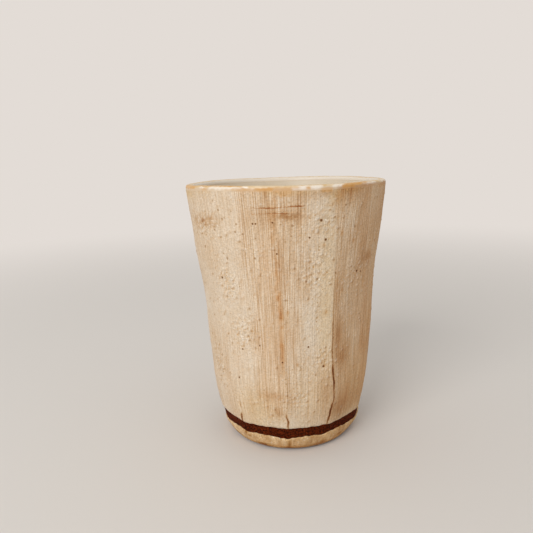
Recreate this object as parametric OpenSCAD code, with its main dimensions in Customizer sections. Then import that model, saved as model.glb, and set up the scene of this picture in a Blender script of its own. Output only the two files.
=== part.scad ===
// Yunomi tea cup: a round thrown cup of dark clay, shaved into upright facets, coated with
// pale slip outside and glaze inside. Millimetres, +Z up, origin at the centre of the standing ring.

/* [Cup] */
// Height from the table to the top of the lip
cup_h = 90; // [78:1:110]
// Diameter across the outside of the lip
lip_d = 68.6; // [60:0.2:84]
// Thickness of the lip, which is fully rounded
lip_t = 3.2; // [2.4:0.1:4.4]

/* [Wall] */
// Diameter at the heel, where the wall starts above the bare band
heel_d = 52; // [46:0.2:58]
// Outward slope of the wall where it leaves the heel
heel_slope = 0.26; // [0.1:0.01:0.4]
// Outward slope of the wall where it reaches the lip
lip_slope = 0.13; // [0.04:0.01:0.22]
// Share of the wall's height over which the heel's slope leads the curve
heel_lead_share = 0.24; // [0.12:0.02:0.4]
// Share of the wall's height over which the lip's slope leads the curve
lip_lead_share = 0.8; // [0.5:0.05:0.9]

/* [Facets] */
// Number of facets shaved round the cup
facet_count = 10; // [6:2:16]
// Depth of clay shaved off at the middle of a facet
facet_depth = 0.6; // [0.3:0.1:1.4]
// Height of the round collar below the lip that the facets leave
collar_h = 6; // [4:0.5:14]
// Height over which the facets fade out below that collar
fade_h = 32; // [12:1:44]
// Height of the round foot that the facets leave at the table
round_foot_h = 2; // [1:0.5:4]
// Turn of the facet to the right of the front, in degrees
facet_turn = 14; // [0:1:35]

/* [Foot] */
// Outside diameter of the standing ring
foot_d = 41; // [34:0.5:44]
// Width of the standing ring
foot_w = 5; // [3:0.5:8]
// Depth of the hollow under the foot
recess_h = 1.6; // [0.8:0.1:2.4]
// Diameter at the lower edge of the bare band
base_d = 49.2; // [45:0.2:54]
// Height of the lower edge of the bare band
base_h = 6; // [4:0.5:9]
// Height of the bare band itself
band_h = 4; // [2:0.5:7]

/* [Inside] */
// Height of the inside floor above the table
floor_h = 8; // [6:0.5:12]
// Thickness of the wall where it meets the inside corner
wall_t = 4.6; // [4:0.1:6]
// Width of the rounded corner between the inside wall and the floor
corner_w = 10; // [5:0.5:14]
// Share of the wall curve that the inside corner takes up
corner_share = 0.2; // [0.14:0.02:0.3]

/* [Coats] */
// Thickness of the slip and glaze coats
coat_t = 0.5; // [0.3:0.05:0.8]
// Height at which the foot slip stops above the table
slip_stop_h = 0.8; // [0.4:0.1:1.5]

/* [Hidden] */
$fn = 96;

clay_colour = "#4a2412";
slip_colour = "#dcc6a2";
foot_slip_colour = "#d6bd92";
glaze_colour = "#e2d8c6";
lip_colour = "#e0c79a";

wall_steps = 18;
base_steps = 5;
corner_steps = 8;
quarter_turn = 90;
full_turn = 360;
overrun = coat_t;

heel_h = base_h + band_h;
lip_h = cup_h - lip_t / 2;
facet_top_h = cup_h - collar_h;
lip_r = lip_d / 2;
heel_r = heel_d / 2;
base_r = base_d / 2;
foot_r = foot_d / 2;
wall_h = lip_h - heel_h;
reach = 2 * lip_d;

// The band's own slope sets how the base curve below it starts.
band_slope = (heel_r - base_r) / band_h;
base_lead_share = 0.82;

// Point on a cubic curve through four control points.
function cubic(p, t) =
    pow(1 - t, 3) * p[0] + 3 * t * pow(1 - t, 2) * p[1]
    + 3 * pow(t, 2) * (1 - t) * p[2] + pow(t, 3) * p[3];

// Point on a quadratic curve through three control points.
function quadratic(p, t) = pow(1 - t, 2) * p[0] + 2 * t * (1 - t) * p[1] + pow(t, 2) * p[2];

// The outside of the wall, from the heel to the lip, as radius and height.
wall_controls = [
    [heel_r, heel_h],
    [heel_r + heel_slope * heel_lead_share * wall_h, heel_h + heel_lead_share * wall_h],
    [lip_r - lip_slope * lip_lead_share * wall_h, lip_h - lip_lead_share * wall_h],
    [lip_r, lip_h]
];
function wall_point(t) = cubic(wall_controls, t);

// The outside of the base, from the standing ring to the lower edge of the band.
base_controls = [
    [foot_r + coat_t, 0],
    [base_r - band_slope * base_lead_share * base_h, base_h - base_lead_share * base_h],
    [base_r, base_h]
];

function inset(points, depth) = [for (p = points) [p[0] - depth, p[1]]];
function turned_round(points) = [for (i = [len(points) - 1 : -1 : 0]) points[i]];
function run_on(points) = concat(
    [points[0] - [0, overrun]], points, [points[len(points) - 1] + [0, overrun]]
);

wall_points = [for (i = [0 : wall_steps]) wall_point(i / wall_steps)];
base_points = [for (i = [0 : base_steps]) quadratic(base_controls, i / base_steps)];
outside_points = concat(base_points, wall_points);

// The outline that the facets follow takes its points halfway between those of the round form.
half_step_share = 0.5;
facet_points = concat(
    [for (i = [0 : base_steps - 1]) quadratic(base_controls, (i + half_step_share) / base_steps)],
    [for (i = [0 : wall_steps - 1]) wall_point((i + half_step_share) / wall_steps)],
    [wall_point(1)]
);

// The inside of the wall keeps a thickness that eases from wall_t at the corner to lip_t at the lip.
corner_top_h = wall_point(corner_share)[1];
function wall_thickness(z) = lip_t + (wall_t - lip_t) * (lip_h - z) / (lip_h - corner_top_h);
inside_wall_points = [
    for (i = [0 : wall_steps])
        let (p = wall_point(corner_share + (1 - corner_share) * i / wall_steps))
        [p[0] - wall_thickness(p[1]), p[1]]
];
corner_top_r = inside_wall_points[0][0];
corner_points = [
    for (i = [0 : corner_steps - 1])
        let (a = quarter_turn * i / corner_steps)
        [corner_top_r - corner_w * (1 - sin(a)), corner_top_h - (corner_top_h - floor_h) * cos(a)]
];

// Points of the inside from the floor's centre to the lip, grown outwards by a lining.
function inside_points(lining) = concat(
    [[0, floor_h - lining]],
    [for (p = corner_points) [p[0] + lining, p[1] - lining]],
    [for (p = inside_wall_points) [p[0] + lining, p[1]]]
);

// How deep a facet is shaved at a height: it fades out below the lip, and from the heel to the foot.
function shave(z) =
    facet_depth * min(1, (facet_top_h - z) / fade_h, (z - round_foot_h) / (heel_h - round_foot_h));

// A flat-sided block whose two faces follow the outline, each one facet below it.
module facet_block(depth) {
    edge = [for (p = facet_points) [p[0] - depth - shave(p[1]), p[1]]];
    foot_edge = [edge[0][0], -overrun];
    lip_edge = [edge[len(edge) - 1][0], cup_h + overrun];
    side = concat([foot_edge], edge, [lip_edge]);
    rotate([quarter_turn, 0, 0])
        linear_extrude(height = reach, center = true)
            polygon(concat(side, [for (p = turned_round(side)) [-p[0], p[1]]]));
}

// Everything inside the shaved outline.
module facets(depth) {
    intersection_for (i = [0 : facet_count / 2 - 1])
        rotate([0, 0, facet_turn - quarter_turn + i * full_turn / facet_count])
            facet_block(depth);
}

// The form filled in from an outline to the axis, with its facets shaved.
module shaved_form(points, depth) {
    edge = inset(points, depth);
    intersection() {
        rotate_extrude()
            polygon(concat([[0, edge[0][1]]], edge, [[0, edge[len(edge) - 1][1]]]));
        facets(depth);
    }
}

// A coat that lies on the shaved clay along an outline.
module outside_coat(points) {
    difference() {
        shaved_form(points, 0);
        shaved_form(run_on(points), coat_t);
    }
}

// The fired clay: wall, floor and foot in one piece, bare in the band and under the foot.
module clay_body() {
    color(clay_colour)
        intersection() {
            rotate_extrude()
                union() {
                    polygon(concat(
                        [[0, recess_h], [foot_r - foot_w, recess_h], [foot_r - foot_w, 0]],
                        inset(outside_points, coat_t),
                        turned_round(inside_points(coat_t))
                    ));
                    translate([lip_r - lip_t / 2, lip_h])
                        circle(r = lip_t / 2 - coat_t);
                }
            facets(coat_t);
        }
}

// Pale slip on the wall, from the bare band up to the lip.
module outer_slip() {
    color(slip_colour)
        outside_coat(wall_points);
}

// Pale slip below the bare band, stopping short of the table.
module foot_slip() {
    color(foot_slip_colour)
        intersection() {
            outside_coat(base_points);
            translate([0, 0, slip_stop_h])
                cylinder(h = base_h, d = reach);
        }
}

// Glaze that lines the inside.
module inner_glaze() {
    color(glaze_colour)
        rotate_extrude()
            polygon(concat(inside_points(0), turned_round(inside_points(coat_t))));
}

// Glaze that rounds over the lip, from the slip outside to the glaze inside.
module lip_glaze() {
    color(lip_colour)
        rotate_extrude()
            translate([lip_r - lip_t / 2, lip_h])
                intersection() {
                    difference() {
                        circle(r = lip_t / 2);
                        circle(r = lip_t / 2 - coat_t);
                    }
                    translate([-lip_t, 0])
                        square([2 * lip_t, lip_t]);
                }
}

clay_body();
outer_slip();
foot_slip();
inner_glaze();
lip_glaze();
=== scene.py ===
import math
from functools import partial

import bmesh
import bpy
import numpy as np
from mathutils import Matrix, Vector


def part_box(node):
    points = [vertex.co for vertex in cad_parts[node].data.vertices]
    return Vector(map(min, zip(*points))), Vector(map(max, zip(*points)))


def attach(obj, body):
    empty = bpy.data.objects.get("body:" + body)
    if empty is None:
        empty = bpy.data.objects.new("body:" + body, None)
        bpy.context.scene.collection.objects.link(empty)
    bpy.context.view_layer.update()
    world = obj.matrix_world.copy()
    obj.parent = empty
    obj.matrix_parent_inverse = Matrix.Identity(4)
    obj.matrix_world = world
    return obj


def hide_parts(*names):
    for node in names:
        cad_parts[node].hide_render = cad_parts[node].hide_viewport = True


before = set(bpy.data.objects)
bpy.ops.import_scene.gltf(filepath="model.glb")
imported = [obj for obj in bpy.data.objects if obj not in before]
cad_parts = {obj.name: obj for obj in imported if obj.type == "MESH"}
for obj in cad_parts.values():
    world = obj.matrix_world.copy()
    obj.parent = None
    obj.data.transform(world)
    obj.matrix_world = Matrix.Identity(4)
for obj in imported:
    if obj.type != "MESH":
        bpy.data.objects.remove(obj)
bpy.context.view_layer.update()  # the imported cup: five nodes on one body
scene = bpy.context.scene
scene.view_settings.view_transform = "Standard"
mm = 0.001
fullTurn = 2 * math.pi

# The cup's form in millimetres: what the frame gives, then the wall's own curve
lipLow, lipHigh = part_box("lip_glaze")
cup = {
    "height": lipHigh.z / mm,
    "lipRadius": lipHigh.x / mm,
    "lipRound": (lipHigh.z - lipLow.z) / mm,  # the lip is a half round of this radius
    "heelHeight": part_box("outer_slip")[0].z / mm,  # the wall slip stops here
    "bandLow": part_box("foot_slip")[1].z / mm,  # the bare band starts here
    "slipStop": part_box("foot_slip")[0].z / mm,
    "floorHeight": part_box("inner_glaze")[0].z / mm,  # under side of the glaze on the floor
    "heelRadius": 26.0,
    "baseRadius": 24.6,
    "footRadius": 20.5,
    "footWidth": 5.0,
    "footHollow": 1.6,
    "coat": 0.5,  # slip and glaze thickness
    "heelSlope": 0.26,
    "lipSlope": 0.13,
    "heelLead": 0.24,
    "lipLead": 0.8,
    "baseLead": 0.82,
    "cornerShare": 0.2,
    "cornerWidth": 10.0,
    "wallThickness": 4.6,
    "patternRadius": 30.0,  # marks and patterns are laid out on a cylinder of this radius
}
coat = cup["coat"]
lipHeight = cup["height"] - cup["lipRound"]
wallRise = lipHeight - cup["heelHeight"]


def cubic(points, t):
    a, b, c, d = (np.array(p, float) for p in points)
    t = np.asarray(t, float)[:, None]
    return (1 - t) ** 3 * a + 3 * t * (1 - t) ** 2 * b + 3 * t**2 * (1 - t) * c + t**3 * d


def quadratic(points, t):
    a, b, c = (np.array(p, float) for p in points)
    t = np.asarray(t, float)[:, None]
    return (1 - t) ** 2 * a + 2 * t * (1 - t) * b + t**2 * c


# An outline's points, respaced evenly along it
def evenRun(curve, count):
    along = np.concatenate(([0], np.cumsum(np.hypot(*np.diff(curve, axis=0).T))))
    at = np.linspace(0, along[-1], count)
    return np.stack((np.interp(at, along, curve[:, 0]), np.interp(at, along, curve[:, 1])), 1)


heelPull = cup["heelLead"] * wallRise
lipPull = cup["lipLead"] * wallRise
wallControls = (
    (cup["heelRadius"], cup["heelHeight"]),
    (cup["heelRadius"] + cup["heelSlope"] * heelPull, cup["heelHeight"] + heelPull),
    (cup["lipRadius"] - cup["lipSlope"] * lipPull, lipHeight - lipPull),
    (cup["lipRadius"], lipHeight),
)
bandSlope = (cup["heelRadius"] - cup["baseRadius"]) / (cup["heelHeight"] - cup["bandLow"])
basePull = cup["baseLead"] * cup["bandLow"]
baseControls = (
    (cup["footRadius"] + coat, 0),
    (cup["baseRadius"] - bandSlope * basePull, cup["bandLow"] - basePull),
    (cup["baseRadius"], cup["bandLow"]),
)
wallCurve = cubic(wallControls, np.linspace(0, 1, 120))
baseCurve = quadratic(baseControls, np.linspace(0, 1, 30))
outsideCurve = np.vstack((baseCurve, wallCurve))

# The inside wall eases from the corner's thickness to the lip's
cornerTop = cubic(wallControls, [cup["cornerShare"]])[0]
insideWall = cubic(wallControls, np.linspace(cup["cornerShare"], 1, 60))
lipThickness = 2 * cup["lipRound"]
thicker = (cup["wallThickness"] - lipThickness) / (lipHeight - cornerTop[1])
insideWall[:, 0] -= lipThickness + thicker * (lipHeight - insideWall[:, 1])
floorTop = cup["floorHeight"] + coat
quarter = np.linspace(0, math.pi / 2, 25)[:-1]
insideCorner = np.stack((
    insideWall[0, 0] - cup["cornerWidth"] * (1 - np.sin(quarter)),
    cornerTop[1] - (cornerTop[1] - floorTop) * np.cos(quarter),
), 1)
insideCurve = np.vstack(([[0, floorTop]], insideCorner, insideWall))


def outsideRadius(height):
    return np.interp(height, outsideCurve[:, 1], outsideCurve[:, 0])


def smoothStep(low, high, value):
    t = np.clip((value - low) / (high - low), 0, 1)
    return t * t * (3 - 2 * t)


def wrapAngle(angle):
    return (angle + math.pi) % fullTurn - math.pi


# Soft noise from -1 to 1 that closes round the cup; its cells have a width, a rise and a seed
def ringNoise(angle, height, cells):
    cellWidth, cellRise, seed = cells
    columns = max(3, round(fullTurn * cup["patternRadius"] / cellWidth))
    rows = int(cup["height"] / cellRise) + 3
    lattice = np.random.default_rng(seed).uniform(-1, 1, (rows, columns))
    across = angle % fullTurn / fullTurn * columns
    upward = np.clip(height, 0, cup["height"]) / cellRise
    column = np.floor(across).astype(int)
    row = np.floor(upward).astype(int)
    a = smoothStep(0, 1, across - column)
    u = smoothStep(0, 1, upward - row)
    left, right = column % columns, (column + 1) % columns
    low = lattice[row, left] * (1 - a) + lattice[row, right] * a
    high = lattice[row + 1, left] * (1 - a) + lattice[row + 1, right] * a
    return low * (1 - u) + high * u


# How strongly each point lies on a drawn line, given as (degrees right of the front, height)
def strokeMask(angle, height, path, width):
    nearest = np.full_like(angle, np.inf)
    for start, end in zip(path, path[1:]):
        across = wrapAngle(angle - math.radians(start[0])) * cup["patternRadius"]
        upward = height - start[1]
        runAcross = math.radians(end[0] - start[0]) * cup["patternRadius"]
        runUp = end[1] - start[1]
        along = (across * runAcross + upward * runUp) / (runAcross**2 + runUp**2)
        along = np.clip(along, 0, 1)
        nearest = np.minimum(nearest, np.hypot(across - along * runAcross, upward - along * runUp))
    return np.exp(-((nearest / width) ** 2))


# The same for spots, each (degrees, height, half width, half rise)
def spotMask(angle, height, spots):
    mask = np.zeros_like(angle)
    for degrees, rise, halfWidth, halfRise in spots:
        near = np.abs(height - rise) < 3 * halfRise
        across = wrapAngle(angle[near] - math.radians(degrees)) * cup["patternRadius"] / halfWidth
        spot = np.exp(-(across**2) - ((height[near] - rise) / halfRise) ** 2)
        mask[near] = np.maximum(mask[near], spot)
    return mask


# Shaved facets: each ridge stands at an angle right of the front and leans as it rises
shaving = {
    "ridges": (-40, -2.5, 30, 66, 103, 139, 176, 212, 247, 284),  # degrees
    "leans": (0.5, -0.2, -0.6, 0.5, -0.4, 0.6, 0.2, -0.5, 0.4, -0.3),  # degrees in 10 mm
    "depths": (0.5, 0.45, 0.95, 0.6, 0.75, 0.5, 0.8, 0.55, 0.7, 0.5),  # right of each ridge
    "collar": 6.0,  # round stretch below the lip
    "fade": 36.0,
    "roundFoot": 2.0,
}


def shavedRadius(angle, height):
    plain = outsideRadius(height)
    upperFade = (cup["height"] - shaving["collar"] - height) / shaving["fade"]
    lowerFade = (height - shaving["roundFoot"]) / (cup["heelHeight"] - shaving["roundFoot"])
    share = np.clip(np.minimum(upperFade, lowerFade), 0, 1)
    climb = (height - cup["heelHeight"]) / 10
    leaning = zip(shaving["ridges"], shaving["leans"])
    ridges = [math.radians(d) + np.radians(lean) * climb for d, lean in leaning]
    cut = np.zeros_like(plain)
    for i, depth in enumerate(shaving["depths"]):
        left, right = ridges[i], ridges[(i + 1) % len(ridges)]
        halfWidth = (right - left) % fullTurn / 2
        off = wrapAngle(angle - left - halfWidth) / halfWidth
        cut += np.where(np.abs(off) < 1, depth * (1 - off**2), 0)
    return plain - cut * share


# What the potter's hands left: a lip that rises and falls, and a wall that swells and leans a little
hands = {
    "lipRises": (  # degrees right of the front, millimetres
        (-80, 0.0), (-62, 0.1), (-45, 0.45), (-25, 0.35), (-8, 0.3), (3, 0.1), (12, 0.25), (22, 0.0),
        (32, 0.15), (50, 0.3), (62, 0.1), (75, 0.0), (110, -0.15), (150, 0.1), (190, -0.1), (230, 0.15),
        (262, -0.05),
    ),
    "offRound": 0.15,
    "swells": (  # degrees, height, half width in degrees, half rise, amount
        (82, 40, 30, 13, 0.7), (84, 62, 25, 7, -0.2), (84, 73, 25, 7, 0.25), (86, 5, 24, 4, 1.1),
        (-82, 52, 30, 9, -0.45), (-82, 68, 30, 8, 0.3), (-80, 24, 30, 10, -0.25), (-84, 4.5, 24, 4, 0.75),
        (150, 50, 30, 16, 0.3), (215, 32, 28, 14, -0.25),
    ),
    "unevenness": 0.1,
    "unevenCells": (19, 15, 3),  # noise: cell width, cell rise, seed
}


def handShape(angle, radius, height):
    up = np.clip(height / cup["height"], 0, 1)
    degrees = np.degrees(wrapAngle(angle))
    at, rises = np.array(hands["lipRises"]).T
    spread = (-8, -4, 0, 4, 8)  # degrees over which the lip's height is evened out
    lipRise = sum(np.interp(degrees + step, at, rises, period=360) for step in spread) / len(spread)
    change = hands["unevenness"] * ringNoise(angle, height, hands["unevenCells"])
    for middle, rise, halfWidth, halfRise, amount in hands["swells"]:
        off = np.degrees(wrapAngle(angle - math.radians(middle))) / halfWidth
        change += amount * np.exp(-(off**2) - ((height - rise) / halfRise) ** 2)
    # none at the table, at the lip or in the middle of the floor
    change *= smoothStep(0, 5, height) * smoothStep(cup["height"], lipHeight - 8, height)
    change *= smoothStep(8, 20, radius)
    change -= hands["offRound"] * (1 + np.sin(angle)) * up**2
    return angle, radius + change, height + lipRise * up**5


print("form read from the frame")


def clearSelection():
    if bpy.context.mode != "OBJECT":
        bpy.ops.object.mode_set(mode="OBJECT")
    bpy.ops.object.select_all(action="DESELECT")


# Extrudes an outline point by point and turns it round the axis
def throwOutline(name, outline, turns, closed):
    clearSelection()
    bpy.ops.mesh.primitive_plane_add(size=mm)
    piece = bpy.context.object
    piece.name = piece.data.name = name
    bpy.ops.object.mode_set(mode="EDIT")
    bpy.ops.mesh.merge(type="CENTER")
    bpy.ops.transform.translate(value=(outline[0][0] * mm, 0, outline[0][1] * mm))
    for before, after in zip(outline, outline[1:]):
        step = ((after[0] - before[0]) * mm, 0, (after[1] - before[1]) * mm)
        bpy.ops.mesh.extrude_region_move(TRANSFORM_OT_translate={"value": step})
    if closed:
        edit = bmesh.from_edit_mesh(piece.data)
        edit.verts.ensure_lookup_table()
        edit.verts[0].select = edit.verts[-1].select = True
        bpy.ops.mesh.edge_face_add()
    bpy.ops.object.mode_set(mode="OBJECT")
    wheel = piece.modifiers.new("wheel", "SCREW")
    wheel.steps = wheel.render_steps = turns
    wheel.use_merge_vertices = True
    wheel.merge_threshold = 0.001 * mm
    bpy.ops.object.modifier_apply(modifier="wheel")
    bpy.ops.object.mode_set(mode="EDIT")
    bpy.ops.mesh.select_all(action="SELECT")
    bpy.ops.mesh.remove_doubles(threshold=0.001 * mm)
    bpy.ops.mesh.normals_make_consistent(inside=False)
    bpy.ops.object.mode_set(mode="OBJECT")
    bpy.ops.object.shade_smooth_by_angle(angle=math.radians(50))
    return piece


# Angle right of the front, radius and height of every vertex, in radians and millimetres
def readRound(piece):
    place = np.empty(len(piece.data.vertices) * 3)
    piece.data.vertices.foreach_get("co", place)
    x, y, z = place.reshape(-1, 3).T / mm
    return np.arctan2(x, -y), np.hypot(x, y), z


def writeRound(piece, angle, radius, height):
    place = np.stack((radius * np.sin(angle), -radius * np.cos(angle), height), 1) * mm
    piece.data.vertices.foreach_set("co", place.ravel())
    piece.data.update()


def paintMark(piece, name, values, least=0):
    mark = piece.data.attributes.new(name, "FLOAT", "POINT")
    mark.data.foreach_set("value", np.clip(values, least, 1).astype(np.float32))


# Where a point lies on a straight cylinder, in millimetres, so that patterns run up the wall
def paintPlace(piece, angle, height):
    place = piece.data.attributes.new("wallPlace", "FLOAT_VECTOR", "POINT")
    across = cup["patternRadius"] * np.stack((np.sin(angle), -np.cos(angle)), 1)
    place.data.foreach_set("vector", np.column_stack((across, height)).astype(np.float32).ravel())


# Lip glaze: a crisp outer edge and a softer inner one, with marks that run down on to the wall
lipMarks = {
    "outerEdge": 3.6,  # 2 is a half round, higher is squarer
    "innerEdge": 2.4,
    # degrees, half width in degrees, from and to round the lip, strength
    # (-1 is runDown below the lip, 0 the lip's outer face, 1 its top and 2 its inner face)
    # whites: milky glaze where it gathers and, in part, painted highlight along the rounded outer edge; the
    # narrow one at -20 degrees is a painted glint
    "whites": (
        (-34, 14, 0.24, 0.46, 0.6), (-20, 1.6, 0.36, 0.6, 0.9), (-8, 9, 0.44, 0.6, 0.22),
        (4.5, 2.6, 0.15, 0.45, 0.5), (8.5, 3, 0.14, 0.6, 0.7), (14.5, 3.2, 0.2, 0.62, 0.7),
        (27, 4.5, 0.3, 0.62, 0.65), (43, 4, 0.9, 1.2, 0.6), (50, 5, 0.28, 0.62, 0.55),
        (70, 8, 0.4, 0.9, 0.4),
    ),
    # ambers: amber glaze where it runs thin; the one along the top at -38 degrees is in part painted shade
    # of the lip's inner edge
    "ambers": (
        (-73, 9, 0.2, 0.75, 0.6), (-61, 4, 0.26, 0.8, 0.7), (-47, 2, 0.05, 0.3, 0.5),
        (-38, 15, 0.52, 0.85, 0.9), (-28, 6, 0.02, 0.26, 0.3), (-18, 4, 0.1, 0.34, 0.4),
        (-10, 5, 0.06, 0.4, 0.65), (-1, 3.5, -0.6, 0.3, 0.35), (1, 6, 0.3, 0.46, 0.45),
        (11.2, 0.9, 0.16, 0.42, 0.7), (20.5, 3, -0.2, 0.25, 0.5), (40, 8, 0.36, 0.72, 0.8),
        (33, 4, 0.1, 0.4, 0.7), (62, 6, -0.3, 0.2, 0.25),
    ),
    "looseMarks": 13,  # of each, round the back
    "runDown": 2.5,  # millimetres below the lip at -1
    "lumpiness": 0.06,
    # noises: cell width, cell rise, seed
    "lumpCells": (4, 30, 71),
    "raggedCells": (2.6, 3, 72),
    "fineRaggedCells": (0.7, 2, 73),
    "swayCells": (1.2, 4, 74),
    "turns": 600,
}
lipDraw = np.random.default_rng(6)
for name, strongest in (("whites", 0.6), ("ambers", 0.4)):
    for low in lipDraw.uniform(-0.3, 0.6, lipMarks["looseMarks"]):
        place, wide, tall = lipDraw.uniform((85, 3, 0.3), (275, 11, 0.7))
        lipMarks[name] += ((place, wide, low, low + tall, lipDraw.uniform(0.2, strongest)),)


# Noise that runs on round the lip, as if a quarter turn over it were 10 mm
def lipNoise(angle, inward, name):
    return ringNoise(angle, 10 * inward + 20, lipMarks[name])


def raggedLip(angle, inward):
    broad = 0.07 * lipNoise(angle, inward, "raggedCells")
    return inward + broad + 0.07 * lipNoise(angle, inward, "fineRaggedCells")


def lipMask(name, angle, inward):
    mask = np.zeros_like(angle)
    ragged = raggedLip(angle, inward)
    sway = 0.5 * lipNoise(angle, inward, "swayCells")
    for degrees, halfWidth, low, high, strength in lipMarks[name]:
        off = np.degrees(wrapAngle(angle - math.radians(degrees))) / halfWidth + sway
        level = smoothStep(low - 0.12, low + 0.12, ragged) * smoothStep(high + 0.1, high - 0.1, ragged)
        mask = np.maximum(mask, strength * level * smoothStep(1.4, 0.5, np.abs(off)))
    return mask


arc = np.linspace(0, math.pi, 29)
power = 2 / np.where(arc < math.pi / 2, lipMarks["outerEdge"], lipMarks["innerEdge"])
lipCentre = np.array((cup["lipRadius"] - cup["lipRound"], lipHeight))
ring = np.stack((np.cos(arc), np.sin(arc)), 1)
squarer = np.sign(ring) * np.abs(ring) ** power[:, None]
lipCore = lipCentre + (cup["lipRound"] - coat) * ring
lipOutline = np.vstack((lipCentre + cup["lipRound"] * squarer, lipCore[::-1]))
lipGlaze = throwOutline("lipGlaze", lipOutline, lipMarks["turns"], True)
angle, radius, height = readRound(lipGlaze)
upShare = (height - lipHeight) / cup["lipRound"]
inward = np.arctan2(upShare, (radius - lipCentre[0]) / cup["lipRound"]) / (math.pi / 2)
lump = lipMarks["lumpiness"] * (ringNoise(angle, np.zeros_like(angle), lipMarks["lumpCells"]) - 1)
lump *= smoothStep(0, 1, upShare)
writeRound(lipGlaze, *handShape(angle, radius, height + lump))
paintPlace(lipGlaze, angle, height)
for name in ("whites", "ambers"):
    paintMark(lipGlaze, name, lipMask(name, angle, inward))
lipSlip = smoothStep(0.5, 0.26, raggedLip(angle, inward))
paintMark(lipGlaze, "slip", lipSlip)
paintMark(lipGlaze, "milk", smoothStep(1.15, 1.5, raggedLip(angle, inward)))
print("lip glaze", len(lipGlaze.data.polygons), "faces")
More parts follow.
